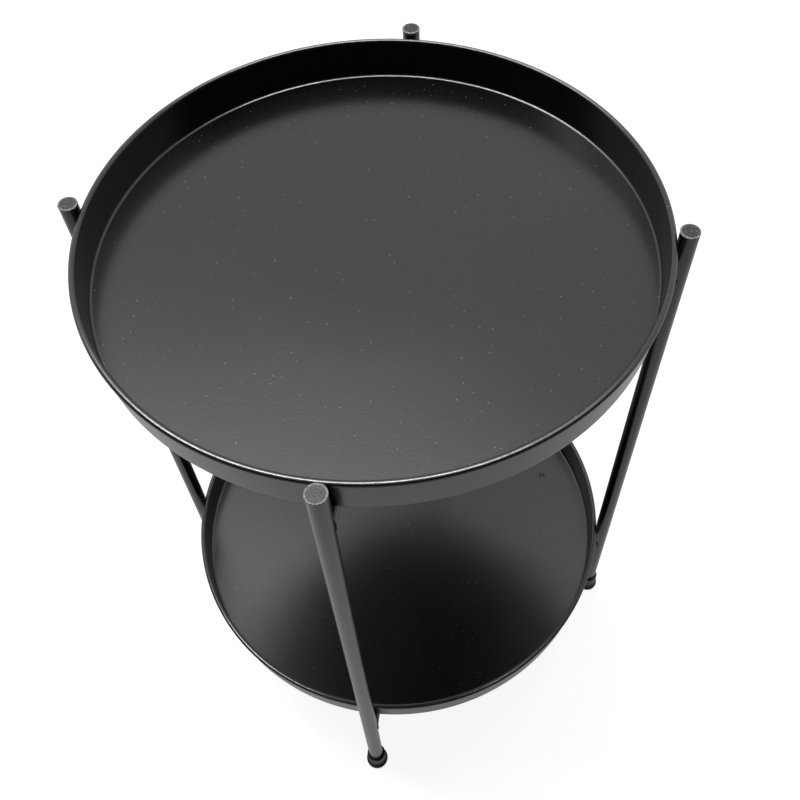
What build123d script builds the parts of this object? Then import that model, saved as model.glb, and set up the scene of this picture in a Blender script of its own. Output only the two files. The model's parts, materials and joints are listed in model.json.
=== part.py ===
from build123d import *
from math import cos, radians, sin
import os

# A round two-tier side table on a folding stand.
# The stand is two flat tube frames that cross at right angles and turn about one
# vertical axis.  Each frame has two legs, joined below each tray by a crossbar.  The
# crossbars of one frame are straight, and those of the other are cranked downwards so
# that all four bar ends lie at one height, directly below the tray.  Two round trays
# with rolled rims lie loose on the crossbars, between the legs.
#
# Frame: millimetres, +Z up.  The origin is on the floor, on the axis about which the
# stand folds.  The front leg stands towards -Y.

# ---- Driving dimensions ------------------------------------------------------------

# Trays
tray_d = 390.0  # over the rolled rim
tray_h = 32.3  # from the underside to the top of the rim
tray_sheet = 1.0
tray_corner_r = 2.5  # from the floor up into the wall, on the middle of the sheet
bead_d = 4.4  # over the rolled rim's own section
bead_turn = 275.0  # degrees through which the sheet is rolled
lower_tray_z = 113.0  # underside of the lower tray

# Tube of the legs and crossbars
tube_d = 13.0
tube_wall = 1.2
leg_top_z = 548.6  # end of the tube, below the cap's head
leg_stand_up = 2.3  # from the rim of the upper tray up to the end of the tube
crossing_angle = 92.0  # degrees from the front leg round to the right leg, stand open

# Cranked crossbars, each half measured from the middle of the bar
crank_low_half = 90.0  # from the middle to where the low stretch starts to climb
crank_ramp_run = 40.0  # length over which the bar climbs
crank_bend_r = 40.0  # of each bend, on the tube's axis

# End caps of the legs
cap_head_d = 13.4
cap_head_t = 1.2
cap_edge_r = 0.5
cap_stem_len = 11.0
cap_stem_wall = 1.4
cap_rib_t = 0.8
cap_rib_h = 0.6  # how far each rib stands out of the stem
cap_rib_depths = (3.0, 6.0, 9.0)  # below the end of the tube

# Rubber feet
foot_h = 21.5
foot_floor_t = 3.5  # rubber below the end of the leg
foot_base_d = 20.4
foot_base_h = 4.8
foot_sole_r = 1.8  # round the bottom of the base
foot_shoulder_r = 1.0  # round the top of the base
foot_root_r = 0.9  # between the base and the sleeve
foot_sleeve_wall = 1.55
foot_lip_h = 2.4  # thickened band at the mouth
foot_lip_t = 0.45  # how far the band stands out of the sleeve
foot_lip_edge_r = 0.4
foot_mouth_chamfer = 0.5

# Pivot fasteners, one set at each tier
stud_d = 6.0
stud_proud = 1.5  # below the nut
stud_chamfer = 0.6
spacer_d = 16.0
spacer_t = 1.2
washer_d = 12.0
washer_t = 1.2
nut_flats = 10.0
nut_hex_h = 4.4
nut_collar_d = 8.8
nut_collar_h = 1.6
nut_edge_chamfer = 0.5

# Clearances
rim_clearance = 0.95  # between a tray's rim and each leg
seat_clearance = 0.3  # between a tray and the crossbars below it
crossing_clearance = 0.3  # above and below the cranked bar at the pivot
pivot_clearance = 0.05  # radial, between a stud and the cranked bar's hole
weld_clearance = 0.02  # radial, round a stud where it enters the straight bar
thread_clearance = 0.02  # radial, between a stud and its nut
washer_clearance = 0.2  # radial, between a stud and its washers
foot_clearance = 0.05  # radial, between a leg and its foot
cap_clearance = 0.05  # radial, between a cap's ribs and the tube
cope_trim = 1.0  # cut off the thin points of a bar end that is shaped to its leg

# ---- Worked out from the driving dimensions ------------------------------------------

upper_tray_z = leg_top_z - leg_stand_up - tray_h  # underside of the upper tray

tube_r = tube_d / 2
tube_bore_r = tube_r - tube_wall
bead_r = bead_d / 2
curl_r = bead_r - tray_sheet / 2  # of the rolled rim, on the middle of the sheet
wall_r = tray_d / 2 - bead_d + tray_sheet / 2  # of a tray's wall, on the middle of the sheet
leg_ring_r = tray_d / 2 + rim_clearance + tube_r
bar_reach = leg_ring_r - cope_trim

crank_drop = tube_d + spacer_t + crossing_clearance
crank_ramp_end = crank_low_half + crank_ramp_run

front_angle = -90.0
right_angle = front_angle + crossing_angle
leg_angles = {
    "front": front_angle,
    "back": front_angle + 180.0,
    "right": right_angle,
    "left": right_angle + 180.0,
}
tray_levels = {"lower": lower_tray_z, "upper": upper_tray_z}


def bar_height(tier):
    """Height of a tier's crossbars on the tube's axis, at the legs."""
    return tray_levels[tier] - seat_clearance - tube_r


def leg_plane(side, height):
    """Level plane at a height, centred on a leg's axis."""
    angle = radians(leg_angles[side])
    return Plane(origin=(leg_ring_r * cos(angle), leg_ring_r * sin(angle), height))


def level_planes(below_bar):
    """Level planes on the folding axis, one a given distance below each tier's crossbars."""
    return [Plane.XY.offset(bar_height(tier) - below_bar) for tier in tray_levels]


def save(piece, name):
    """Label a finished piece and write it as the node of that name."""
    piece.part.label = name
    export_step(piece.part, f"parts/{name}.step")


# ---- Trays ---------------------------------------------------------------------------


def make_tray(tier):
    """Round tray: a flat floor, an upright wall and a rim rolled outwards, from one sheet."""
    floor_z = tray_levels[tier] + tray_sheet / 2
    curl_start_z = tray_levels[tier] + tray_h - bead_r
    with BuildPart() as tray:
        with BuildSketch(Plane.XZ):
            with BuildLine():
                floor = Line((0, floor_z), (wall_r - tray_corner_r, floor_z))
                corner = JernArc(floor @ 1, floor % 1, tray_corner_r, 90)
                wall = Line(corner @ 1, (wall_r, curl_start_z))
                JernArc(wall @ 1, wall % 1, curl_r, -bead_turn)
            trace(line_width=tray_sheet)
        revolve(axis=Axis.Z)
    save(tray, f"{tier}_tray")


# ---- Legs ----------------------------------------------------------------------------


def make_leg(side):
    """Upright tube from inside its foot to below its cap."""
    with BuildPart() as leg:
        with BuildSketch(leg_plane(side, foot_floor_t)):
            Circle(tube_r)
            Circle(tube_bore_r, mode=Mode.SUBTRACT)
        extrude(amount=leg_top_z - foot_floor_t)
    save(leg, f"{side}_leg")


def make_cap(side):
    """Plug in the top of a leg: a flat head with a rounded edge on a hollow ribbed stem."""
    rib_r = tube_bore_r - cap_clearance
    stem_r = rib_r - cap_rib_h
    with BuildPart() as cap:
        with BuildSketch(leg_plane(side, leg_top_z)):
            Circle(cap_head_d / 2)
        extrude(amount=cap_head_t)
        fillet(cap.faces().sort_by(Axis.Z)[-1].edges(), cap_edge_r)
        with BuildSketch(leg_plane(side, leg_top_z)):
            Circle(stem_r)
            Circle(stem_r - cap_stem_wall, mode=Mode.SUBTRACT)
        extrude(amount=-cap_stem_len)
        with BuildSketch(*[leg_plane(side, leg_top_z - depth) for depth in cap_rib_depths]):
            Circle(rib_r)
            Circle(stem_r, mode=Mode.SUBTRACT)
        extrude(amount=-cap_rib_t)
    save(cap, f"{side}_leg_cap")


def circles_by_radius(piece):
    """The circular edges of the piece being built, grouped from the smallest radius up."""
    return piece.edges().filter_by(GeomType.CIRCLE).group_by(SortBy.RADIUS)


def make_foot(side):
    """Rubber foot: a round base and a sleeve with a thickened mouth, over the leg's end."""
    bore_r = tube_r + foot_clearance
    sleeve_r = bore_r + foot_sleeve_wall
    with BuildPart() as foot:
        with BuildSketch(leg_plane(side, 0)):
            Circle(foot_base_d / 2)
        extrude(amount=foot_base_h)
        with BuildSketch(leg_plane(side, foot_base_h)):
            Circle(sleeve_r)
        extrude(amount=foot_h - foot_base_h)
        fillet(circles_by_radius(foot)[0].sort_by(Axis.Z)[0], foot_root_r)
        fillet(circles_by_radius(foot)[-1].sort_by(Axis.Z)[-1], foot_shoulder_r)
        fillet(circles_by_radius(foot)[-1].sort_by(Axis.Z)[0], foot_sole_r)
        with BuildSketch(leg_plane(side, foot_h - foot_lip_h)):
            Circle(sleeve_r + foot_lip_t)
        extrude(amount=foot_lip_h)
        fillet(foot.edges().group_by(Axis.Z)[-1], foot_lip_edge_r)
        with BuildSketch(leg_plane(side, foot_floor_t)):
            Circle(bore_r)
        extrude(amount=foot_h - foot_floor_t, mode=Mode.SUBTRACT)
        chamfer(foot.edges().group_by(Axis.Z)[-1].sort_by(SortBy.RADIUS)[0], foot_mouth_chamfer)
    save(foot, f"{side}_foot")


# ---- Crossbars -----------------------------------------------------------------------


def make_straight_crossbar(tier):
    """Straight tube, its ends shaped to the front and back legs, with a seat for the pivot stud."""
    height = bar_height(tier)
    with BuildPart() as bar:
        with BuildSketch(Plane.XZ):
            with Locations((0, height)):
                Circle(tube_r)
                Circle(tube_bore_r, mode=Mode.SUBTRACT)
        extrude(amount=bar_reach, both=True)
        with BuildSketch(leg_plane("front", height), leg_plane("back", height)):
            Circle(tube_r)
        extrude(amount=tube_d, both=True, mode=Mode.SUBTRACT)
        with BuildSketch(Plane.XY.offset(height)):
            Circle(stud_d / 2 + weld_clearance)
        extrude(amount=-tube_d, mode=Mode.SUBTRACT)
    save(bar, f"{tier}_straight_crossbar")


def make_cranked_crossbar(tier):
    """Tube, its ends shaped to the left and right legs, that dips to turn below the straight bar."""
    height = bar_height(tier)
    angle = radians(right_angle)
    upright = Plane(
        origin=(0, 0, height),
        x_dir=(cos(angle), sin(angle), 0),
        z_dir=(sin(angle), -cos(angle), 0),
    )
    with BuildPart() as bar:
        with BuildLine(upright) as route:
            FilletPolyline(
                (-bar_reach, 0),
                (-crank_ramp_end, 0),
                (-crank_low_half, -crank_drop),
                (crank_low_half, -crank_drop),
                (crank_ramp_end, 0),
                (bar_reach, 0),
                radius=crank_bend_r,
            )
        with BuildSketch(Plane(origin=route.line @ 0, z_dir=route.line % 0)):
            Circle(tube_r)
            Circle(tube_bore_r, mode=Mode.SUBTRACT)
        sweep()
        with BuildSketch(leg_plane("right", height), leg_plane("left", height)):
            Circle(tube_r)
        extrude(amount=tube_d, both=True, mode=Mode.SUBTRACT)
        with BuildSketch(Plane.XY.offset(height - crank_drop)):
            Circle(stud_d / 2 + pivot_clearance)
        extrude(amount=tube_d, both=True, mode=Mode.SUBTRACT)
    save(bar, f"{tier}_cranked_crossbar")


# ---- Pivot fasteners, measured down from the straight bar's axis ---------------------------

spacer_top = tube_r
washer_top = crank_drop + tube_r + crossing_clearance
nut_top = washer_top + washer_t
stud_end = nut_top + nut_hex_h + nut_collar_h + stud_proud


def make_pivot_studs():
    """Threaded stud welded into the lower wall of each straight crossbar."""
    with BuildPart() as studs:
        with BuildSketch(*level_planes(stud_end)):
            Circle(stud_d / 2)
        extrude(amount=stud_end - tube_bore_r)
        for tip in studs.solids():
            chamfer(tip.faces().sort_by(Axis.Z)[0].edges(), stud_chamfer)
    save(studs, "pivot_studs")


def make_washers(name, outer_d, thickness, top):
    """One flat washer on each stud."""
    with BuildPart() as washers:
        with BuildSketch(*level_planes(top)):
            Circle(outer_d / 2)
            Circle(stud_d / 2 + washer_clearance, mode=Mode.SUBTRACT)
        extrude(amount=-thickness)
    save(washers, name)


def make_lock_nuts():
    """Lock nut on each stud: a hexagon with a round collar below it."""
    bore_r = stud_d / 2 + thread_clearance
    with BuildPart() as nuts:
        with BuildSketch(*level_planes(nut_top)):
            RegularPolygon(nut_flats / 2, side_count=6, major_radius=False)
        extrude(amount=-nut_hex_h)
        with BuildSketch(*level_planes(nut_top + nut_hex_h)):
            Circle(nut_collar_d / 2)
        extrude(amount=-nut_collar_h)
        for nut in nuts.solids():
            chamfer(nut.faces().sort_by(Axis.Z)[0].edges(), nut_edge_chamfer)
        with BuildSketch(*level_planes(nut_top)):
            Circle(bore_r)
        extrude(amount=-(nut_hex_h + nut_collar_h), mode=Mode.SUBTRACT)
    save(nuts, "lock_nuts")


# ---- Build -----------------------------------------------------------------------------

os.makedirs("parts", exist_ok=True)
for side_name in leg_angles:
    make_leg(side_name)
    make_cap(side_name)
    make_foot(side_name)
for tier_name in tray_levels:
    make_tray(tier_name)
    make_straight_crossbar(tier_name)
    make_cranked_crossbar(tier_name)
make_pivot_studs()
make_washers("spacer_washers", spacer_d, spacer_t, spacer_top)
make_washers("plain_washers", washer_d, washer_t, washer_top)
make_lock_nuts()
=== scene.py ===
"""Round two-tier side table: finishes, fine forms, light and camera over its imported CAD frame."""

import json
import logging
import math
from dataclasses import dataclass
from enum import Enum
from functools import partial
from typing import Callable, Sequence

import bpy
from mathutils import Matrix, Vector


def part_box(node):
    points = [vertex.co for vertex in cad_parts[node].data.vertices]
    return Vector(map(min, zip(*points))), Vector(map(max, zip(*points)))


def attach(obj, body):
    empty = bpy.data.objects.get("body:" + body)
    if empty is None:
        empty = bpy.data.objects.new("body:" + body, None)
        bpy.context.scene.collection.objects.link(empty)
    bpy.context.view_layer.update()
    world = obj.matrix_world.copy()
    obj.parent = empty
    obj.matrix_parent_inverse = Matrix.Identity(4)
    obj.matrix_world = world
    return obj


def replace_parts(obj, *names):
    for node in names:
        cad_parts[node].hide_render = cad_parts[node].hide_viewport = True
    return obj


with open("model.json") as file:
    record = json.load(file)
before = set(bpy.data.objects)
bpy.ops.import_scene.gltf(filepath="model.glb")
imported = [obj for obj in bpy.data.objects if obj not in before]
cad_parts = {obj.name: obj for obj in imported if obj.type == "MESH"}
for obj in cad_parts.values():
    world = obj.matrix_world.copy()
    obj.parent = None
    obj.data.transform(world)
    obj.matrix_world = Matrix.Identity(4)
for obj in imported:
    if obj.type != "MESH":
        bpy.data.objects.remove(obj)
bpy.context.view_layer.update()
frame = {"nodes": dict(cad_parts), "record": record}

LOG = logging.getLogger("side_table")
MM = 0.001

# Vertex attributes that the finishes read, and the upward parts of a normal at which dust starts
# to stay and all of it stays.
# The wear attribute also carries painted highlights: bright bands set where a lamp's highlight falls.
WEAR_AND_SHEEN = "wear"
SETTLED = "settled"
SETTLED_FACE = (0.7, 0.9)

# Each leg carries a bar end at both tiers, and moves with the frame named beside it.
BAR_ENDS = (
    ("front", "straight_frame"),
    ("back", "straight_frame"),
    ("right", "cranked_frame"),
    ("left", "cranked_frame"),
)

Point = tuple[float, float, float]
Colour = tuple[float, float, float]
Pair = tuple[float, float]
Piece = bpy.types.Object
Material = bpy.types.Material
Tree = bpy.types.NodeTree
Socket = bpy.types.NodeSocket
Outputs = bpy.types.NodeOutputs
Input = Socket | Sequence[float] | float
Profile = list[Pair]
Weight = Callable[[Vector, Vector], float]


# ---- Shader node groups ----------------------------------


class Effect(Enum):
    """Surface effects that several finishes share, each one a node group."""

    PEEL = "paint_orange_peel"
    MOTTLE = "slow_mottle"
    DUST = "settled_dust"
    # Rubbed paint, and the painted highlights that share its mask.
    WEAR_AND_SHEEN = "rubbed_paint_and_sheen"
    SCUFF = "floor_scuff"


@dataclass(frozen=True)
class Scuff:
    """The one scuff on the lower tray's floor: slanting strokes in a soft round patch, and a chip.

    Places and radii are in metres, the slant is in radians, and the strokes' bands are counted
    per metre.
    """

    place: Point = (141.4 * MM, 70.5 * MM, 114.0 * MM)
    outer_radius: float = 4.6 * MM
    inner_radius: float = 2.6 * MM
    slant: float = 0.9
    stroke_bands: float = 170.0
    stroke_distortion: float = 3.5
    stroke_detail: float = 2.0
    stroke_level: float = 0.45
    chip_place: Point = (142.0 * MM, 67.6 * MM, 114.0 * MM)
    chip_radius: float = 0.75 * MM


SCUFF = Scuff()
PEEL_GRAIN_FINENESS = 4.0
DUST_COARSE_POWER = 6.0
WEAR_BREAK_LEVEL = 0.35
WEAR_BREAK_GAIN = 3.0


def new_group(effect: Effect, inputs: dict[str, float], outputs: Sequence[str]) -> Tree:
    """Make an empty shader node group with named float sockets.

    Args:
        effect: the effect that the group holds, which names it.
        inputs: name and default value of each input.
        outputs: name of each output.

    Returns:
        The group, with its input and output nodes in place.
    """
    group = bpy.data.node_groups.new(effect.value, "ShaderNodeTree")
    for name, value in inputs.items():
        socket = group.interface.new_socket(name=name, in_out="INPUT", socket_type="NodeSocketFloat")
        socket.default_value = value
    for name in outputs:
        group.interface.new_socket(name=name, in_out="OUTPUT", socket_type="NodeSocketFloat")
    group.nodes.new("NodeGroupInput").name = "in"
    group.nodes.new("NodeGroupOutput").name = "out"
    return group


def feed(tree: Tree, socket: Socket, value: Input) -> None:
    """Give an input a link, where the value is another node's socket, or else a constant.

    Args:
        tree: the node tree that holds both.
        socket: the input.
        value: the other socket, or the constant.
    """
    if isinstance(value, Socket):
        tree.links.new(value, socket)
    else:
        socket.default_value = value


def add_node(tree: Tree, kind: str, inputs: dict[str | int, Input], **settings: object) -> Outputs:
    """Add a node, with its settings made before its inputs are filled.

    Args:
        tree: the node tree that gets it.
        kind: its type.
        inputs: a socket or a constant for each input, under its name or number.
        settings: name and value of each setting.

    Returns:
        Its outputs.
    """
    node = tree.nodes.new(kind)
    for name, value in settings.items():
        setattr(node, name, value)
    for name, value in inputs.items():
        feed(tree, node.inputs[name], value)
    return node.outputs


def math_node(tree: Tree, operation: str, *values: Input) -> Socket:
    """Add a Math node with a socket or constant for each input, and return its result."""
    return add_node(tree, "ShaderNodeMath", dict(enumerate(values)), operation=operation)[0]


def noise_node(tree: Tree, cells: Socket, detail: float, roughness: float) -> Socket:
    """Add a noise texture on Object coordinates.

    Args:
        tree: the node tree that gets it.
        cells: socket with its scale, in cells per metre.
        detail: number of finer octaves.
        roughness: how much each of them weighs.

    Returns:
        The socket with the noise, about 0.5 on average.
    """
    place = add_node(tree, "ShaderNodeTexCoord", {})["Object"]
    inputs = {"Vector": place, "Scale": cells, "Detail": detail, "Roughness": roughness}
    return add_node(tree, "ShaderNodeTexNoise", inputs)["Fac"]


def mix_node(tree: Tree, kind: str, below: Input, above: Input, mask: Socket) -> Socket:
    """Lay one colour or value over another wherever a mask is 1.

    Args:
        tree: the node tree that gets it.
        kind: RGBA for colours, or FLOAT for values.
        below: what shows where the mask is 0.
        above: what shows where the mask is 1.
        mask: socket with the mask.

    Returns:
        The socket with the mixture.
    """
    inputs = {"A": below, "B": above, "Factor": mask}
    return add_node(tree, "ShaderNodeMix", inputs, data_type=kind)["Result"]


def build_peel() -> Tree:
    """Orange peel of powder coat: a low, even ripple with a finer grain on it.

    Returns:
        A group that gives a height.
    """
    group = new_group(Effect.PEEL, {"Cells per metre": 900.0, "Grain share": 0.25}, ["Height"])
    given = group.nodes["in"].outputs
    cells = given["Cells per metre"]
    ripple = noise_node(group, cells, detail=1.0, roughness=0.5)
    finer = math_node(group, "MULTIPLY", cells, PEEL_GRAIN_FINENESS)
    grain = noise_node(group, finer, detail=2.0, roughness=0.6)
    weighted = math_node(group, "MULTIPLY", grain, given["Grain share"])
    height = math_node(group, "ADD", ripple, weighted)
    group.links.new(height, group.nodes["out"].inputs["Height"])
    return group


def build_mottle() -> Tree:
    """Slow variation of a value about its middle, as film thickness and handling leave it.

    Returns:
        A group that gives the value.
    """
    group = new_group(
        Effect.MOTTLE, {"Middle": 0.35, "Swing": 0.03, "Cells per metre": 14.0}, ["Value"]
    )
    given = group.nodes["in"].outputs
    noise = noise_node(group, given["Cells per metre"], detail=3.0, roughness=0.55)
    centred = math_node(group, "SUBTRACT", noise, 0.5)
    swung = math_node(group, "MULTIPLY", centred, given["Swing"])
    total = math_node(group, "ADD", swung, given["Middle"])
    group.links.new(total, group.nodes["out"].inputs["Value"])
    return group


def build_dust() -> Tree:
    """Sparse pale specks where dust settles, mostly fine and a few coarse.

    Returns:
        A group that gives a mask.
    """
    group = new_group(
        Effect.DUST,
        {"Cells per metre": 60.0, "Share": 0.5, "Fine speck": 0.003, "Coarse speck": 0.016},
        ["Mask"],
    )
    given = group.nodes["in"].outputs
    place = add_node(group, "ShaderNodeTexCoord", {})["Object"]
    inputs = {"Vector": place, "Scale": given["Cells per metre"]}
    cells = add_node(group, "ShaderNodeTexVoronoi", inputs, voronoi_dimensions="2D")
    split = add_node(group, "ShaderNodeSeparateColor", {"Color": cells["Color"]})
    chosen = math_node(group, "LESS_THAN", split["Red"], given["Share"])
    steep = math_node(group, "POWER", split["Green"], DUST_COARSE_POWER)
    coarse = math_node(group, "MULTIPLY", steep, given["Coarse speck"])
    reach = math_node(group, "ADD", coarse, given["Fine speck"])
    inside = math_node(group, "LESS_THAN", cells["Distance"], reach)
    both = math_node(group, "MULTIPLY", chosen, inside)
    settled = add_node(group, "ShaderNodeAttribute", {}, attribute_name=SETTLED)["Fac"]
    upward = math_node(group, "MULTIPLY", both, settled)
    group.links.new(upward, group.nodes["out"].inputs["Mask"])
    return group


def build_wear_and_sheen() -> Tree:
    """Paint rubbed thin, and painted highlight, where a piece's wear value is high, broken up by a fine
    noise.

    Returns:
        A group that gives a mask.
    """
    group = new_group(
        Effect.WEAR_AND_SHEEN, {"Cells per metre": 1500.0, "Amount": 1.0, "Break-up": 0.5}, ["Mask"]
    )
    given = group.nodes["in"].outputs
    noise = noise_node(group, given["Cells per metre"], detail=2.0, roughness=0.6)
    lifted = math_node(group, "SUBTRACT", noise, WEAR_BREAK_LEVEL)
    steep = math_node(group, "MULTIPLY", lifted, WEAR_BREAK_GAIN)
    capped = math_node(group, "MINIMUM", steep, 1.0)
    whole = math_node(group, "MAXIMUM", capped, 0.0)
    gap = math_node(group, "SUBTRACT", 1.0, whole)
    cut = math_node(group, "MULTIPLY", gap, given["Break-up"])
    kept = math_node(group, "SUBTRACT", 1.0, cut)
    wear = add_node(group, "ShaderNodeAttribute", {}, attribute_name=WEAR_AND_SHEEN)["Fac"]
    masked = math_node(group, "MULTIPLY", kept, wear)
    total = math_node(group, "MULTIPLY", masked, given["Amount"])
    group.links.new(total, group.nodes["out"].inputs["Mask"])
    return group


def build_scuff() -> Tree:
    """Dull strokes and chip of the one scuff.

    Returns:
        A group that gives a mask for each.
    """
    group = new_group(Effect.SCUFF, {}, ["Strokes", "Chip"])
    place = add_node(group, "ShaderNodeTexCoord", {})["Object"]
    patch_distance, chip_distance = (
        add_node(group, "ShaderNodeVectorMath", {0: place, 1: point}, operation="DISTANCE")["Value"]
        for point in (SCUFF.place, SCUFF.chip_place)
    )
    span = {"Value": patch_distance, "From Min": SCUFF.outer_radius, "From Max": SCUFF.inner_radius}
    patch = add_node(group, "ShaderNodeMapRange", span, interpolation_type="SMOOTHSTEP")
    turn = {"Vector": place, "Rotation": (0.0, 0.0, SCUFF.slant)}
    slanted = add_node(group, "ShaderNodeMapping", turn)["Vector"]
    inputs = {
        "Vector": slanted,
        "Scale": SCUFF.stroke_bands,
        "Distortion": SCUFF.stroke_distortion,
        "Detail": SCUFF.stroke_detail,
    }
    waves = add_node(group, "ShaderNodeTexWave", inputs)["Fac"]
    lines = math_node(group, "GREATER_THAN", waves, SCUFF.stroke_level)
    strokes = math_node(group, "MULTIPLY", patch["Result"], lines)
    chip = math_node(group, "LESS_THAN", chip_distance, SCUFF.chip_radius)
    group.links.new(strokes, group.nodes["out"].inputs["Strokes"])
    group.links.new(chip, group.nodes["out"].inputs["Chip"])
    return group


EFFECTS = {
    Effect.PEEL: build_peel(),
    Effect.MOTTLE: build_mottle(),
    Effect.DUST: build_dust(),
    Effect.WEAR_AND_SHEEN: build_wear_and_sheen(),
    Effect.SCUFF: build_scuff(),
}


def effect_node(tree: Tree, effect: Effect, values: dict[str, float]) -> Outputs:
    """Place an effect in a material, with the values of its inputs, and return its outputs."""
    return add_node(tree, "ShaderNodeGroup", values, node_tree=EFFECTS[effect])


# ---- Finishes --------------------------------------------


@dataclass(frozen=True)
class Finish:
    """A surface finish: one Principled BSDF fed by the shared effects.

    Sizes of the effects are in cells per metre, specks are in shares of a cell, and bump heights
    are in metres.
    """

    name: str
    colour: Colour
    roughness: float
    roughness_swing: float = 0.03
    roughness_cells: float = 14.0
    metallic: float = 0.0
    ior: float = 1.5
    peel_cells: float = 700.0
    peel_height: float = 0.00002
    mottle_colour: Colour | None = None
    mottle_cells: float = 14.0
    mottle_middle: float = 0.5
    mottle_swing: float = 2.5
    dust_share: float = 0.0
    dust_cells: float = 60.0
    fine_speck: float = 0.003
    coarse_speck: float = 0.016
    dust_colour: Colour = (0.45, 0.44, 0.42)
    # Rubbed paint, and painted highlights that share its mask: colour, roughness and metallic laid
    # where the wear attribute is high.
    wear_and_sheen_amount: float = 0.0
    wear_break: float = 0.5
    wear_cells: float = 1500.0
    wear_and_sheen_colour: Colour = (0.5, 0.5, 0.5)
    wear_and_sheen_roughness: float = 0.22
    wear_and_sheen_metallic: float = 0.0
    scuffed: bool = False
    scuff_roughness: float = 0.75

    def mottle(self, tree: Tree, middle: float, swing: float, cells: float) -> Socket:
        """Place a slow variation about a middle value, of a size in cells per metre."""
        values = {"Middle": middle, "Swing": swing, "Cells per metre": cells}
        return effect_node(tree, Effect.MOTTLE, values)["Value"]

    def dust(self, tree: Tree) -> Socket:
        """Place the settled dust in the material.

        Args:
            tree: the material's node tree.

        Returns:
            The socket with its mask.
        """
        values = {
            "Cells per metre": self.dust_cells,
            "Share": self.dust_share,
            "Fine speck": self.fine_speck,
            "Coarse speck": self.coarse_speck,
        }
        return effect_node(tree, Effect.DUST, values)["Mask"]

    def wear(self, tree: Tree) -> Socket:
        """Place the rubbed paint and the painted highlights in the material.

        Args:
            tree: the material's node tree.

        Returns:
            The socket with its mask.
        """
        values = {
            "Cells per metre": self.wear_cells,
            "Amount": self.wear_and_sheen_amount,
            "Break-up": self.wear_break,
        }
        return effect_node(tree, Effect.WEAR_AND_SHEEN, values)["Mask"]

    def build(self) -> Material:
        """Make the material.

        Returns:
            A material with its colour, roughness and bump varied over the surface.
        """
        material = bpy.data.materials.new(self.name)
        material.use_nodes = True
        tree = material.node_tree
        shader = tree.nodes["Principled BSDF"]
        colour: Input = (*self.colour, 1.0)
        shader.inputs["Base Color"].default_value = colour
        shader.inputs["Metallic"].default_value = self.metallic
        shader.inputs["IOR"].default_value = self.ior
        roughness = self.mottle(tree, self.roughness, self.roughness_swing, self.roughness_cells)
        peel = effect_node(tree, Effect.PEEL, {"Cells per metre": self.peel_cells})["Height"]
        bump = add_node(tree, "ShaderNodeBump", {"Distance": self.peel_height, "Height": peel})
        tree.links.new(bump["Normal"], shader.inputs["Normal"])
        if self.mottle_colour is not None:
            patches = self.mottle(tree, self.mottle_middle, self.mottle_swing, self.mottle_cells)
            colour = mix_node(tree, "RGBA", colour, (*self.mottle_colour, 1.0), patches)
        if self.scuffed:
            scuff = effect_node(tree, Effect.SCUFF, {})
            colour = mix_node(tree, "RGBA", colour, (*self.dust_colour, 1.0), scuff["Chip"])
            roughness = mix_node(tree, "FLOAT", roughness, self.scuff_roughness, scuff["Strokes"])
        if self.dust_share > 0.0:
            colour = mix_node(tree, "RGBA", colour, (*self.dust_colour, 1.0), self.dust(tree))
        # Rubbed paint, and painted highlights: a paler colour, another roughness and metallic, laid
        # where the wear attribute is high.
        if self.wear_and_sheen_amount > 0.0:
            worn_and_sheen = self.wear(tree)
            colour = mix_node(tree, "RGBA", colour, (*self.wear_and_sheen_colour, 1.0), worn_and_sheen)
            roughness = mix_node(tree, "FLOAT", roughness, self.wear_and_sheen_roughness, worn_and_sheen)
            if self.wear_and_sheen_metallic > 0.0:
                metal = mix_node(tree, "FLOAT", self.metallic, self.wear_and_sheen_metallic, worn_and_sheen)
                tree.links.new(metal, shader.inputs["Metallic"])
        feed(tree, shader.inputs["Base Color"], colour)
        tree.links.new(roughness, shader.inputs["Roughness"])
        return material


TRAY_PAINT = Finish(
    "tray_powder_coat",
    (0.0045, 0.0045, 0.0046),
    0.22,
    roughness_swing=0.05,
    ior=1.6,
    peel_height=0.000032,
    dust_share=0.6,
    dust_cells=160.0,
    fine_speck=0.0105,
    coarse_speck=0.036,
    dust_colour=(0.5, 0.49, 0.47),
    # Rim crest, outer bottom edge and floor corner: a bright metallic band, partly rubbed paint and
    # partly a painted highlight where the lamps' highlight lies.
    wear_and_sheen_amount=0.7,
    wear_break=0.3,
    wear_cells=250.0,
    wear_and_sheen_colour=(0.32, 0.32, 0.32),
    wear_and_sheen_roughness=0.17,
    wear_and_sheen_metallic=1.0,
    scuffed=True,
)
TUBE_PAINT = Finish(
    "tube_powder_coat",
    (0.003, 0.003, 0.0031),
    0.23,
    roughness_swing=0.08,
    ior=1.58,
    peel_cells=1100.0,
    peel_height=0.00003,
    mottle_colour=(0.006, 0.006, 0.006),
    mottle_cells=60.0,
)
CAP_PAINT = Finish(
    "cap_paint",
    (0.008, 0.008, 0.008),
    0.4,
    peel_cells=1500.0,
    peel_height=0.00003,
    mottle_colour=(0.05, 0.05, 0.05),
    mottle_cells=420.0,
    dust_share=0.35,
    dust_cells=700.0,
    fine_speck=0.07,
    coarse_speck=0.2,
    dust_colour=(0.3, 0.3, 0.29),
    # Pale ring round the head's edge: partly rubbed paint, partly a painted highlight of the rounded
    # edge.
    wear_and_sheen_amount=1.0,
    wear_break=0.8,
    wear_cells=900.0,
    wear_and_sheen_colour=(0.6, 0.6, 0.58),
    wear_and_sheen_roughness=0.35,
)
FOOT_RUBBER = Finish(
    "foot_rubber", (0.042, 0.042, 0.042), 0.45, peel_cells=2500.0, mottle_colour=(0.058, 0.058, 0.058)
)
ZINC_PLATE = Finish(
    "zinc_plate",
    (0.55, 0.55, 0.56),
    0.3,
    metallic=1.0,
    peel_cells=3000.0,
    mottle_colour=(0.42, 0.43, 0.46),
    mottle_cells=300.0,
)
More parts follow.
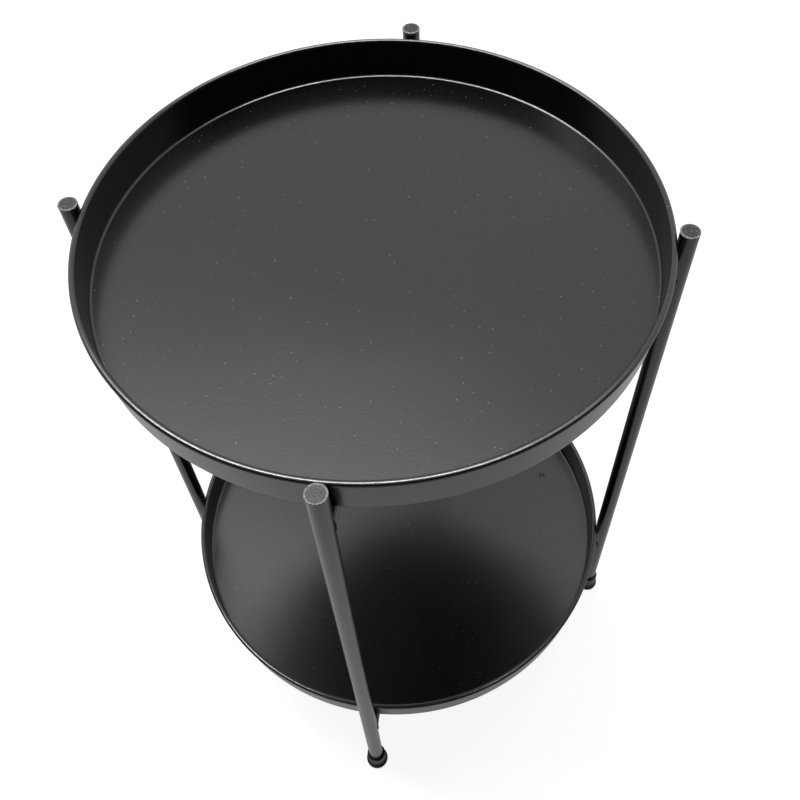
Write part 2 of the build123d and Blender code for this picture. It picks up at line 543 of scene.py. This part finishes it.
BLACK_NYLON = Finish("black_nylon", (0.02, 0.02, 0.02), 0.45, peel_cells=3000.0)

SLOT_FINISHES = {
    "tray_paint": TRAY_PAINT,
    "frame_paint": TUBE_PAINT,
    "cap_paint": CAP_PAINT,
    "foot_rubber": FOOT_RUBBER,
    "plated_steel": ZINC_PLATE,
    "spacer_nylon": BLACK_NYLON,
}


def dress_nodes() -> dict[str, Material]:
    """Give each CAD node the finish of its material slot.

    Returns:
        The material made for each slot.
    """
    materials = {slot: finish.build() for slot, finish in SLOT_FINISHES.items()}
    for subpart in frame["record"]["subparts"]:
        node = frame["nodes"][subpart["node"]]
        for slot in node.material_slots:
            slot.material = materials[subpart["material_slot"]]
    return materials


# ---- Modelling -------------------------------------------


def deselect() -> None:
    """Deselect everything, so that an operator acts only on what it adds."""
    bpy.ops.object.select_all(action="DESELECT")


def activate(piece: Piece) -> None:
    """Make an object the active one, and select nothing else.

    Args:
        piece: the object.
    """
    deselect()
    piece.select_set(True)
    bpy.context.view_layer.objects.active = piece


def draw_line(name: str, points: Sequence[Point]) -> Piece:
    """Draw a line through points, and leave its last vertex selected in edit mode.

    Args:
        name: name of the object.
        points: in metres.

    Returns:
        The object.
    """
    deselect()
    bpy.ops.mesh.primitive_plane_add(size=MM, location=points[0])
    piece = bpy.context.active_object
    piece.name = name
    bpy.ops.object.mode_set(mode="EDIT")
    bpy.ops.mesh.select_all(action="SELECT")
    bpy.ops.mesh.merge(type="CENTER")
    for start, end in zip(points, points[1:]):
        step = [b - a for a, b in zip(start, end)]
        bpy.ops.mesh.extrude_region_move(TRANSFORM_OT_translate={"value": step})
    return piece


def settle(piece: Piece, smooth_angle: float = 35.0) -> Piece:
    """Leave edit mode, put the object's place into its mesh and shade it smooth up to an angle.

    Args:
        piece: the object.
        smooth_angle: largest angle that is shaded smooth, in degrees.

    Returns:
        The object.
    """
    if piece.mode == "EDIT":
        bpy.ops.object.mode_set(mode="OBJECT")
    activate(piece)
    bpy.ops.object.transform_apply(location=True, rotation=True, scale=True)
    bpy.ops.object.shade_smooth_by_angle(angle=math.radians(smooth_angle))
    return piece


def spin_profile(name: str, profile: Profile, steps: int) -> Piece:
    """Turn a profile of radii and heights round the Z axis.

    Args:
        name: name of the object.
        profile: radius and height of each point, in metres, with the outside on the left.
        steps: number of faces round the axis.

    Returns:
        The object.
    """
    piece = draw_line(name, [(radius, 0.0, height) for radius, height in profile])
    bpy.ops.mesh.select_all(action="SELECT")
    bpy.ops.mesh.spin(steps=steps, angle=2 * math.pi, center=(0, 0, 0), axis=(0, 0, 1))
    bpy.ops.mesh.select_all(action="SELECT")
    bpy.ops.mesh.remove_doubles(threshold=0.001 * MM)
    bpy.ops.mesh.normals_make_consistent(inside=False)
    return settle(piece)


def arc(centre: Pair, radius: float, start: float, end: float, steps: int) -> Profile:
    """Work out points on an arc of a profile.

    Args:
        centre: radius and height of the arc's centre.
        radius: of the arc.
        start: angle of the first point, in degrees from the outward direction.
        end: angle of the last point, in degrees.
        steps: number of steps between them.

    Returns:
        The points, both ends included.
    """
    angles = [math.radians(start + (end - start) * step / steps) for step in range(steps + 1)]
    return [
        (centre[0] + radius * math.cos(angle), centre[1] + radius * math.sin(angle))
        for angle in angles
    ]


def apply_modifier(piece: Piece, kind: str, **settings: object) -> None:
    """Add a modifier and apply it.

    Args:
        piece: the mesh object.
        kind: of modifier.
        settings: name and value of each of its settings.
    """
    modifier = piece.modifiers.new(kind.lower(), kind)
    for name, value in settings.items():
        setattr(modifier, name, value)
    activate(piece)
    bpy.ops.object.modifier_apply(modifier=modifier.name)


def join_into(piece: Piece, other: Piece) -> None:
    """Join another mesh into a piece.

    Args:
        piece: the mesh object that stays.
        other: the one that goes into it.
    """
    activate(piece)
    other.select_set(True)
    bpy.ops.object.join()


def write_weights(piece: Piece, name: str, weight: Weight) -> None:
    """Give a piece a value at each vertex, worked out from its place and normal.

    Args:
        piece: the mesh object.
        name: name of the attribute, which a finish reads.
        weight: function of a vertex's place and normal.
    """
    values = [weight(vertex.co, vertex.normal) for vertex in piece.data.vertices]
    attribute = piece.data.attributes.new(name, "FLOAT", "POINT")
    attribute.data.foreach_set("value", values)


def ramp(value: float, low: float, high: float) -> float:
    """Smooth step from 0 at the low value to 1 at the high one."""
    share = min(max((value - low) / (high - low), 0.0), 1.0)
    return share * share * (3.0 - 2.0 * share)


def faces_up(place: Vector, normal: Vector) -> float:
    """Share of dust that stays at a vertex of any place: all of it where its normal points up."""
    return ramp(normal.z, *SETTLED_FACE)


def finish_piece(piece: Piece, body: str, material: Material) -> Piece:
    """Give a finished piece its material and the body that it moves with.

    Args:
        piece: the piece.
        body: name of the body.
        material: the piece's only material.

    Returns:
        The piece.
    """
    piece.data.materials.clear()
    piece.data.materials.append(material)
    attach(piece, body)
    return piece


# ---- Trays -----------------------------------------------


@dataclass(frozen=True)
class TrayWearAndSheen:
    """Where a tray's paint is rubbed thin, and where a bright metallic band paints the lamps'
    highlight.

    The crest of the rolled rim gets it most on its front face, above all at the front and back, where
    the tray is lifted and where the lamps' highlight lies along the rim: partly rubbed paint, partly
    painted highlight. The outer bottom edge gets a little, where it is set down, which also paints a
    highlight along that edge. The corner round the floor is not rubbed: it gets a painted highlight at
    the front and back. Each band holds the value at which a cause starts and the value at which it is
    full. Depths are shares of the tray's reach, faces are parts of a normal, and drops and insets are
    in metres.
    """

    crest: float
    reach: float
    wall: float
    floor_reach: float
    corner_top: float
    least_held_and_lit: float = 0.1
    held_and_lit_depth: Pair = (0.45, 0.8)
    back_face: Pair = (0.0, 0.25)
    crest_face: Pair = (0.80, 0.96)
    crest_drop: Pair = (0.8 * MM, 0.2 * MM)
    edge_wear_and_sheen: float = 0.3
    edge_face: Pair = (0.1, 0.4)
    edge_inset: Pair = (1.8 * MM, 0.6 * MM)
    corner_sheen: float = 1.0
    corner_depth: Pair = (0.4, 0.75)
    corner_face: Pair = (0.5, 0.8)
    corner_inset: Pair = (0.05 * MM, 0.4 * MM)

    def weight(self, place: Vector, normal: Vector) -> float:
        """Wear and painted highlight at a vertex: of the rim above the corner, and of the floor's edges
        below its top.

        Args:
            place: of the vertex.
            normal: of the vertex.

        Returns:
            From 0 for whole paint to 1 for the strongest rubbing and painted highlight.
        """
        depth = abs(place.y) / self.reach
        # Rim crest: rubbed paint on its front face, strongest at the front and back, partly a painted
        # highlight where the lamps' highlight lies.
        if place.z > self.corner_top:
            start, full = self.crest_drop
            crest = ramp(place.z, self.crest - start, self.crest - full)
            held_and_lit = self.least_held_and_lit + (1.0 - self.least_held_and_lit) * ramp(depth, *self.held_and_lit_depth)
            front = 1.0 - ramp(normal.y, *self.back_face)
            return held_and_lit * front * crest * ramp(normal.z, *self.crest_face)
        # Outer bottom edge: a little rubbing where it is set down, partly a painted highlight along the
        # edge.
        radius = place.xy.length
        start, full = self.edge_inset
        edge = ramp(-normal.z, *self.edge_face) * ramp(radius, self.wall - start, self.wall - full)
        # Floor corner: a painted highlight at the front and back, where the lamps' highlight lies.
        start, full = self.corner_inset
        corner = ramp(radius, self.floor_reach + start, self.floor_reach + full)
        corner_highlight = ramp(depth, *self.corner_depth) * ramp(normal.z, *self.corner_face)
        return max(self.edge_wear_and_sheen * edge, self.corner_sheen * corner_highlight * corner)


@dataclass
class Tray:
    """Round tray of one steel sheet: a flat floor, an upright wall and a rim rolled outwards.

    Its outside sizes come from its node. The sheet's middle line is spun, and then thickened.
    """

    node: str
    body: str
    sheet: float = 1.0 * MM
    corner_radius: float = 2.5 * MM
    bead: float = 4.4 * MM
    bead_turn: float = 275.0
    corner_steps: int = 8
    bead_steps: int = 30
    turn_steps: int = 256
    smooth_angle: float = 40.0

    def profile(self) -> Profile:
        """Draw the sheet's middle line, from the centre of the floor to the end of the rolled rim.

        Returns:
            The radius and height of each point.
        """
        low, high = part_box(self.node)
        floor = low.z + self.sheet / 2
        wall = high.x - self.bead + self.sheet / 2
        curl = (self.bead - self.sheet) / 2
        curl_centre = (wall + curl, high.z - self.bead / 2)
        corner_centre = (wall - self.corner_radius, floor + self.corner_radius)
        points = [(0.0, floor), (wall / 2, floor)]
        points += arc(corner_centre, self.corner_radius, -90.0, 0.0, self.corner_steps)
        points += arc(curl_centre, curl, 180.0, 180.0 - self.bead_turn, self.bead_steps)
        return points

    def rubbed(self) -> TrayWearAndSheen:
        """Place the wear and the painted highlights on this tray.

        Returns:
            Its wear and painted highlights.
        """
        low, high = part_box(self.node)
        wall = high.x - self.bead + self.sheet
        return TrayWearAndSheen(
            crest=high.z,
            reach=high.x,
            wall=wall,
            floor_reach=wall - self.sheet / 2 - self.corner_radius,
            corner_top=low.z + self.corner_radius + self.sheet,
        )

    def build(self, material: Material) -> Piece:
        """Spin and thicken the sheet.

        Args:
            material: the tray's finish.

        Returns:
            The tray, standing for its CAD node.
        """
        tray = spin_profile(f"{self.node}_sheet", self.profile(), self.turn_steps)
        apply_modifier(tray, "SOLIDIFY", thickness=self.sheet, offset=0.0, use_even_offset=True)
        write_weights(tray, WEAR_AND_SHEEN, self.rubbed().weight)
        write_weights(tray, SETTLED, faces_up)
        settle(tray, self.smooth_angle)
        finish_piece(tray, self.body, material)
        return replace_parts(tray, self.node)


# ---- Stand -----------------------------------------------


@dataclass
class LegCap:
    """Moulded plug on top of a leg: a round head with shallow rings, and a stem below."""

    side: str
    body: str
    edge_radius: float = 0.5 * MM
    edge_steps: int = 5
    ring_radii: tuple[float, ...] = (1.5 * MM, 3.2 * MM, 4.7 * MM)
    ring_depth: float = 0.13 * MM
    ring_half_width: float = 0.5 * MM
    stem_radius: float = 4.65 * MM
    turn_steps: int = 64
    # Band of the pale edge ring: rubbed paint and painted highlight.
    worn_and_sheen_inset: Pair = (1.1 * MM, 0.2 * MM)
    worn_and_sheen_rise: float = 0.1 * MM
    worn_and_sheen_drop: float = 0.7 * MM

    def profile(self, head_radius: float, top: float, seat: float, foot: float) -> Profile:
        """Half section of the plug, from the middle of the head over its edge and down the stem.

        Args:
            head_radius: radius of the head.
            top: height of the head's top.
            seat: height of the head's underside.
            foot: height of the stem's lower end.

        Returns:
            The radius and height of each point.
        """
        points = [(0.0, top - self.ring_depth)]
        for radius in self.ring_radii:
            points += [
                (radius - self.ring_half_width, top),
                (radius, top - self.ring_depth),
                (radius + self.ring_half_width, top),
            ]
        edge_centre = (head_radius - self.edge_radius, top - self.edge_radius)
        points += arc(edge_centre, self.edge_radius, 90.0, 0.0, self.edge_steps)
        points += [(head_radius, seat), (self.stem_radius, seat), (self.stem_radius, foot), (0.0, foot)]
        return points

    def rubbed(
        self, head_radius: float, top: float, seat: float, place: Vector, normal: Vector
    ) -> float:
        """Wear and painted highlight at a vertex, which is on the edge of the head.

        Args:
            head_radius: radius of the head.
            top: height of the head's top.
            seat: height of the head's underside.
            place: of the vertex.
            normal: of the vertex, which may be any; it is not used.

        Returns:
            From 0 for whole paint to 1 for the palest edge ring.
        """
        start, full = self.worn_and_sheen_inset
        outer = ramp(place.xy.length, head_radius - start, head_radius - full)
        return outer * ramp(place.z, seat + self.worn_and_sheen_rise, top - self.worn_and_sheen_drop)

    def build(self, material: Material) -> Piece:
        """Spin the plug and set it on its leg.

        Args:
            material: the cap's finish.

        Returns:
            The plug, standing for its CAD node.
        """
        node = f"{self.side}_leg_cap"
        low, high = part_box(node)
        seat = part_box(f"{self.side}_leg")[1].z
        head_radius = (high.x - low.x) / 2
        profile = self.profile(head_radius, high.z, seat, low.z)
        cap = spin_profile(f"{self.side}_cap_plug", profile, self.turn_steps)
        write_weights(cap, WEAR_AND_SHEEN, partial(self.rubbed, head_radius, high.z, seat))
        write_weights(cap, SETTLED, faces_up)
        middle = (low + high) / 2
        cap.data.transform(Matrix.Translation((middle.x, middle.y, 0.0)))
        finish_piece(cap, self.body, material)
        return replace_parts(cap, node)


@dataclass
class Welds:
    """Fillet welds where the crossbars' ends meet the legs, painted over with the tubes.

    Their undersides are tucked against the legs, clear of the lower tray when it is lifted to them.
    """

    tube_radius: float = 6.5 * MM
    bead_radius: float = 0.95 * MM
    ripple: float = 0.12 * MM
    ripples: int = 26
    gap_share: float = 0.15
    tuck: float = 0.4 * MM
    rings: int = 104
    sides: int = 8
    smooth_angle: float = 60.0

    def shape_bead(self) -> Piece:
        """Bend a ring to the saddle between two equal tubes, with the ripples of its run.

        Returns:
            A weld for a bar along +X whose leg stands on the folding axis, at height 0.
        """
        deselect()
        bpy.ops.mesh.primitive_torus_add(
            major_radius=self.tube_radius,
            minor_radius=self.bead_radius,
            major_segments=self.rings,
            minor_segments=self.sides,
            rotation=(0.0, math.pi / 2, 0.0),
        )
        bead = bpy.context.active_object
        bead.name = "weld_bead"
        bpy.ops.object.transform_apply(location=False, rotation=True, scale=False)
        bpy.ops.object.mode_set(mode="EDIT")
        bpy.ops.mesh.select_all(action="DESELECT")
        bpy.ops.object.mode_set(mode="OBJECT")
        for ring in range(self.rings):
            angle = 2 * math.pi * ring / self.rings
            around = Vector((0.0, math.sin(angle), -math.cos(angle)))
            swell = self.ripple * math.cos(self.ripples * angle)
            saddle = self.tube_radius * math.hypot(math.cos(angle), self.gap_share)
            saddle -= self.tuck * max(math.cos(angle), 0.0)
            shift = Vector((-saddle - swell, 0.0, 0.0)) + around * swell
            for vertex in bead.data.vertices[ring * self.sides : (ring + 1) * self.sides]:
                vertex.select = True
            bpy.ops.object.mode_set(mode="EDIT")
            bpy.ops.transform.translate(value=shift)
            bpy.ops.mesh.select_all(action="DESELECT")
            bpy.ops.object.mode_set(mode="OBJECT")
        return settle(bead, self.smooth_angle)

    def build(self, material: Material) -> list[Piece]:
        """Weld every bar end to its leg.

        Args:
            material: the tubes' finish.

        Returns:
            The welds.
        """
        pattern = self.shape_bead()
        welds = []
        for side, body in BAR_ENDS:
            low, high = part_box(f"{side}_leg")
            middle = (low + high) / 2
            turn = Matrix.Rotation(math.atan2(middle.y, middle.x), 4, "Z")
            for tier in ("lower", "upper"):
                bar_low, bar_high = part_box(f"{tier}_straight_crossbar")
                height = (bar_low.z + bar_high.z) / 2
                weld = pattern.copy()
                weld.data = pattern.data.copy()
                weld.name = f"{tier}_{side}_weld"
                bpy.context.scene.collection.objects.link(weld)
                weld.data.transform(turn @ Matrix.Translation((middle.xy.length, 0.0, height)))
                welds.append(finish_piece(weld, body, material))
        bpy.data.objects.remove(pattern)
        return welds


@dataclass
class PivotHardware:
    """Threaded studs and their lock nuts, one set below the crossing at each tier.

    The collar's and the nylon insert's chamfers, corner and root are widths and heights.
    """

    body: str = "straight_frame"
    stud_radius: float = 3.0 * MM
    tip_chamfer: float = 0.3 * MM
    thread_pitch: float = 1.0 * MM
    thread_depth: float = 0.35 * MM
    thread_flat: float = 0.15
    thread_runout: float = 0.5 * MM
    thread_turns: int = 10
    core_overlap: float = 0.02 * MM
    flats: float = 10.0 * MM
    hex_height: float = 4.4 * MM
    hex_chamfer: float = 0.15 * MM
    collar_radius: float = 4.4 * MM
    collar_height: float = 1.6 * MM
    collar_chamfer: Pair = (0.1 * MM, 0.15 * MM)
    collar_corner: Pair = (0.35 * MM, 0.4 * MM)
    collar_root: Pair = (0.2 * MM, 0.1 * MM)
    insert_radius: float = 3.9 * MM
    insert_inset: float = 0.35 * MM
    insert_chamfer: Pair = (0.2 * MM, 0.15 * MM)
    stud_steps: int = 36
    collar_steps: int = 64
    chamfer_steps: int = 96
    smooth_angle: float = 30.0
    hexagon_angle: float = 20.0

    def stud_spans(self) -> list[Pair]:
        """Find where the studs stand.

        Returns:
            Lowest and highest point of each stud, from the lower tier up.
        """
        low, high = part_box("pivot_studs")
        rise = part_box("upper_straight_crossbar")[0].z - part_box("lower_straight_crossbar")[0].z
        length = (high.z - low.z) - rise
        return [(low.z + lift, low.z + lift + length) for lift in (0.0, rise)]

    def build_thread(self, name: str, low: float) -> Piece:
        """Wind a screw thread upwards.

        Args:
            name: name of the thread.
            low: height of its start.

        Returns:
            The thread.
        """
        root = self.stud_radius - self.thread_depth
        half = self.thread_pitch / 2
        crest_start = low + (1.0 - self.thread_flat) * half
        crest_end = low + (1.0 + self.thread_flat) * half
        turn = [
            (root, 0.0, low),
            (root, 0.0, low + self.thread_flat * half),
            (self.stud_radius, 0.0, crest_start),
            (self.stud_radius, 0.0, crest_end),
            (root, 0.0, low + (2.0 - self.thread_flat) * half),
            (root, 0.0, low + self.thread_pitch),
        ]
        thread = draw_line(name, turn)
        settle(thread, self.smooth_angle)
        apply_modifier(
            thread,
            "SCREW",
            axis="Z",
            angle=2 * math.pi,
            screw_offset=self.thread_pitch,
            iterations=self.thread_turns - 1,
            steps=self.stud_steps,
            render_steps=self.stud_steps,
            use_merge_vertices=True,
            merge_threshold=0.01 * MM,
        )
        return thread

    def build_stud(self, name: str, low: float, high: float) -> Piece:
        """Set a screw thread round the lower end of a plain shank.

        Args:
            name: name of the stud.
            low: height of its tip.
            high: height of its welded end.

        Returns:
            The stud.
        """
        thread = self.build_thread(name, low)
        thread_top = low + self.thread_pitch * self.thread_turns
        core_radius = self.stud_radius - self.thread_depth + self.core_overlap
        profile = [
            (0.0, low),
            (core_radius - self.tip_chamfer, low),
            (core_radius, low + self.tip_chamfer),
            (core_radius, thread_top - self.thread_runout),
            (self.stud_radius, thread_top),
            (self.stud_radius, high),
            (0.0, high),
        ]
        join_into(thread, spin_profile(f"{name}_core", profile, self.stud_steps))
        return settle(thread)

    def build_hexagon(self, name: str, top: float) -> Piece:
        """Make the nut's hexagon, with its corners chamfered at both faces.

        Args:
            name: name of the nut.
            top: height of its upper face.

        Returns:
            The hexagon.
        """
        inner = self.flats / 2
        corner = inner / math.cos(math.pi / 6)
        deselect()
        bpy.ops.mesh.primitive_cylinder_add(
            vertices=6,
            radius=corner,
            depth=self.hex_height,
            location=(0.0, 0.0, top - self.hex_height / 2),
            rotation=(0.0, 0.0, math.pi / 6),
        )
        nut = bpy.context.active_object
        nut.name = name
        settle(nut, self.hexagon_angle)
        drop = (corner - inner) * math.tan(math.pi / 6)
        bottom = top - self.hex_height
        # The lens stands a little past the faces, and past the corners between its chamfers.
        spare = 0.01 * MM
        beyond = corner + 0.1 * MM
        profile = [
            (0.0, bottom - spare),
            (inner - self.hex_chamfer, bottom - spare),
            (beyond, bottom + drop),
            (beyond, top - drop),
            (inner - self.hex_chamfer, top + spare),
            (0.0, top + spare),
        ]
        lens = spin_profile(f"{name}_chamfer", profile, self.chamfer_steps)
        apply_modifier(nut, "BOOLEAN", operation="INTERSECT", solver="EXACT", object=lens)
        bpy.data.objects.remove(lens)
        return nut

    def build_nut(self, name: str, top: float) -> tuple[Piece, Piece]:
        """Hexagon with a round collar below it, and the nylon ring inside the collar.

        Args:
            name: name of the nut.
            top: height of its upper face.

        Returns:
            The nut and its ring.
        """
        nut = self.build_hexagon(name, top)
        bottom = top - self.hex_height
        rim = bottom - self.collar_height
        root_width, root_height = self.collar_root
        width, height = self.collar_chamfer
        corner_width, corner_height = self.collar_corner
        collar_profile = [
            (self.insert_radius, bottom + root_height),
            (self.insert_radius, rim + height),
            (self.insert_radius + width, rim),
            (self.collar_radius - corner_width, rim),
            (self.collar_radius, rim + corner_height),
            (self.collar_radius, bottom),
            (self.collar_radius + root_width, bottom + root_height),
        ]
        foot = rim + self.insert_inset
        width, height = self.insert_chamfer
        ring_profile = [
            (self.insert_radius, bottom),
            (self.stud_radius, bottom),
            (self.stud_radius, foot + height),
            (self.stud_radius + width, foot),
            (self.insert_radius, foot),
            (self.insert_radius, bottom),
        ]
        collar = spin_profile(f"{name}_collar", collar_profile, self.collar_steps)
        ring = spin_profile(f"{name}_nylon_ring", ring_profile, self.collar_steps)
        join_into(nut, collar)
        return settle(nut, self.smooth_angle), ring

    def build(self, steel: Material, nylon: Material) -> list[Piece]:
        """Make both studs and nuts.

        Args:
            steel: finish of the studs and nuts.
            nylon: finish of the locking rings.

        Returns:
            The studs, nuts and rings.
        """
        spans = self.stud_spans()
        nut_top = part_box("lock_nuts")[1].z - spans[1][0]
        pieces = []
        for tier, (low, high) in zip(("lower", "upper"), spans):
            stud = self.build_stud(f"{tier}_threaded_stud", low, high)
            nut, ring = self.build_nut(f"{tier}_hex_nut", low + nut_top)
            finish_piece(stud, self.body, steel)
            finish_piece(nut, self.body, steel)
            finish_piece(ring, self.body, nylon)
            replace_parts(stud, "pivot_studs")
            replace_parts(nut, "lock_nuts")
            pieces += [stud, nut, ring]
        return pieces


# ---- Set and camera --------------------------------------


@dataclass(frozen=True)
class Lamp:
    """Flat soft lamp aimed at the upper tray: place, width and depth in metres, and radiance."""

    name: str
    place: Point
    width: float
    depth: float
    radiance: float

    def build(self, aim: Vector) -> None:
        """Make the lamp, with its width along X.

        Args:
            aim: the point that it faces.
        """
        light = bpy.data.lights.new(self.name, "AREA")
        light.shape = "RECTANGLE"
        light.size = self.width
        light.size_y = self.depth
        light.energy = self.radiance * math.pi * self.width * self.depth
        back = (Vector(self.place) - aim).normalized()
        along = back.cross(Vector((1.0, 0.0, 0.0))).normalized()
        across = along.cross(back)
        lamp = bpy.data.objects.new(self.name, light)
        lamp.location = self.place
        lamp.rotation_euler = Matrix((across, along, back)).transposed().to_euler()
        bpy.context.scene.collection.objects.link(lamp)


@dataclass
class Studio:
    """White floor and surroundings, an unlit side to the room, and two soft lamps overhead.

    Sizes are in metres. The floor's lift is the light that it seems to give, to the camera and
    in gloss, and the world lights the object at its strength but shows at the level seen.
    """

    floor_radius: float = 4.0
    floor_sides: int = 96
    floor_colour: Colour = (0.42, 0.42, 0.42)
    floor_lift: float = 0.9
    floor_lift_in_gloss: float = 0.45
    world_strength: float = 0.25
    world_seen: float = 1.0
    lamps: tuple[Lamp, ...] = (
        Lamp("soft_lamp", (-0.33, 0.1, 2.2), 1.8, 0.42, 9.8),
        Lamp("wide_lamp", (-0.5, 0.62, 2.15), 1.5, 0.62, 2.1),
    )
    dark_radius: float = 3.2
    dark_height: float = 0.35
    dark_sides: int = 64
    dark_rings: int = 32
    dark_colour: Colour = (0.12, 0.12, 0.12)

    def plain_material(self, name: str, colour: Colour) -> Material:
        """Make a matte material with no gloss, for the set alone.

        Args:
            name: name of the material.
            colour: its colour.

        Returns:
            The material.
        """
        material = bpy.data.materials.new(name)
        material.use_nodes = True
        shader = material.node_tree.nodes["Principled BSDF"]
        shader.inputs["Base Color"].default_value = (*colour, 1.0)
        shader.inputs["Roughness"].default_value = 1.0
        shader.inputs["Specular IOR Level"].default_value = 0.0
        return material

    def seen_rays(self, tree: Tree, to_camera: float, in_gloss: float) -> Socket:
        """Add nodes that tell camera rays from glossy and transmission rays, and give 0 to the rest.

        Args:
            tree: the node tree that gets them.
            to_camera: value for camera rays.
            in_gloss: value for glossy and transmission rays.

        Returns:
            The socket with the value.
        """
        rays = add_node(tree, "ShaderNodeLightPath", {})
        gloss = math_node(tree, "MAXIMUM", rays["Is Glossy Ray"], rays["Is Transmission Ray"])
        gloss_share = math_node(tree, "MULTIPLY", gloss, in_gloss)
        camera_share = math_node(tree, "MULTIPLY", rays["Is Camera Ray"], to_camera)
        return math_node(tree, "ADD", gloss_share, camera_share)

    def build_floor(self) -> None:
        """Large round floor, white to the camera and in reflections, that still takes shadows."""
        deselect()
        bpy.ops.mesh.primitive_circle_add(
            vertices=self.floor_sides, radius=self.floor_radius, fill_type="NGON"
        )
        floor = bpy.context.active_object
        floor.name = "studio_floor"
        material = self.plain_material("studio_floor", self.floor_colour)
        tree = material.node_tree
        shader = tree.nodes["Principled BSDF"]
        shader.inputs["Emission Color"].default_value = (1.0, 1.0, 1.0, 1.0)
        lift = self.seen_rays(tree, self.floor_lift, self.floor_lift_in_gloss)
        tree.links.new(lift, shader.inputs["Emission Strength"])
        floor.data.materials.append(material)

    def build_world(self) -> None:
        """Plain white surroundings, which light the object at a lower level than they show."""
        world = bpy.data.worlds.new("studio")
        world.use_nodes = True
        tree = world.node_tree
        background = tree.nodes["Background"]
        background.inputs["Color"].default_value = (1.0, 1.0, 1.0, 1.0)
        rise = self.world_seen - self.world_strength
        level = math_node(tree, "ADD", self.seen_rays(tree, rise, rise), self.world_strength)
        tree.links.new(level, background.inputs["Strength"])
        bpy.context.scene.world = world

    def build_dark_side(self) -> None:
        """Dark quarter dome on the camera's side: the unlit room, seen only in gloss."""
        deselect()
        bpy.ops.mesh.primitive_uv_sphere_add(
            segments=self.dark_sides, ring_count=self.dark_rings, radius=self.dark_radius
        )
        side = bpy.context.active_object
        side.name = "dark_side"
        bpy.ops.object.mode_set(mode="EDIT")
        for normal, height in (((0, 1, 0), 0.0), ((0, 0, -1), self.dark_height)):
            bpy.ops.mesh.select_all(action="SELECT")
            bpy.ops.mesh.bisect(plane_co=(0, 0, height), plane_no=normal, clear_outer=True)
        bpy.ops.object.mode_set(mode="OBJECT")
        side.data.materials.append(self.plain_material("dark_side", self.dark_colour))
        side.visible_camera = False

    def build(self) -> None:
        """Make the whole set."""
        self.build_floor()
        self.build_world()
        low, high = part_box("upper_tray")
        for lamp in self.lamps:
            lamp.build((low + high) / 2)
        self.build_dark_side()


@dataclass
class TableCamera:
    """Camera high in front of the table, looking steeply down at it with a slight roll.

    The location is in metres, angles are in degrees, the sensor and lens in millimetres, and the
    shifts in widths of the sensor.
    """

    location: Point = (0.0921, -0.4313, 0.9899)
    heading: float = 8.49
    tilt_down: float = 54.66
    roll: float = -2.154
    sensor: float = 36.0
    lens: float = 42.81
    shift_x: float = -0.0261
    shift_y: float = -0.0285
    clip_start: float = 0.01

    def build(self) -> None:
        """Make the camera and set it as the scene's."""
        heading = math.radians(self.heading)
        tilt = math.radians(self.tilt_down)
        roll = math.radians(self.roll)
        level_right = Vector((math.cos(heading), math.sin(heading), 0.0))
        ahead = Vector((-math.sin(heading), math.cos(heading), 0.0))
        forward = ahead * math.cos(tilt) - Vector((0.0, 0.0, math.sin(tilt)))
        level_up = level_right.cross(forward)
        right = level_right * math.cos(roll) + level_up * math.sin(roll)
        up = level_up * math.cos(roll) - level_right * math.sin(roll)
        rotation = Matrix((right, up, -forward)).transposed()
        data = bpy.data.cameras.new("camera")
        data.sensor_width = self.sensor
        data.lens = self.lens
        data.shift_x = self.shift_x
        data.shift_y = self.shift_y
        data.clip_start = self.clip_start
        camera = bpy.data.objects.new("camera", data)
        camera.matrix_world = Matrix.Translation(self.location) @ rotation.to_4x4()
        bpy.context.scene.collection.objects.link(camera)
        bpy.context.scene.camera = camera


def report(pieces: Sequence[Piece]) -> None:
    """Say through the log which pieces stand in the scene, with their faces and size.

    Args:
        pieces: the pieces.
    """
    for piece in pieces:
        size = " x ".join(f"{length / MM:.1f}" for length in piece.dimensions)
        LOG.info("%s: %d faces, %s mm", piece.name, len(piece.data.polygons), size)


def main() -> None:
    """Build the dressed table and its set, and report each piece."""
    logging.basicConfig(level=logging.INFO)
    finishes = dress_nodes()
    for tier in ("upper", "lower"):
        report([Tray(f"{tier}_tray", f"{tier}_tray").build(finishes["tray_paint"])])
    for side, body in BAR_ENDS:
        report([LegCap(side, body).build(finishes["cap_paint"])])
    report(Welds().build(finishes["frame_paint"]))
    report(PivotHardware().build(finishes["plated_steel"], finishes["spacer_nylon"]))
    Studio().build()
    TableCamera().build()
    bpy.context.scene.view_settings.view_transform = "Standard"


if __name__ == "__main__":
    main()
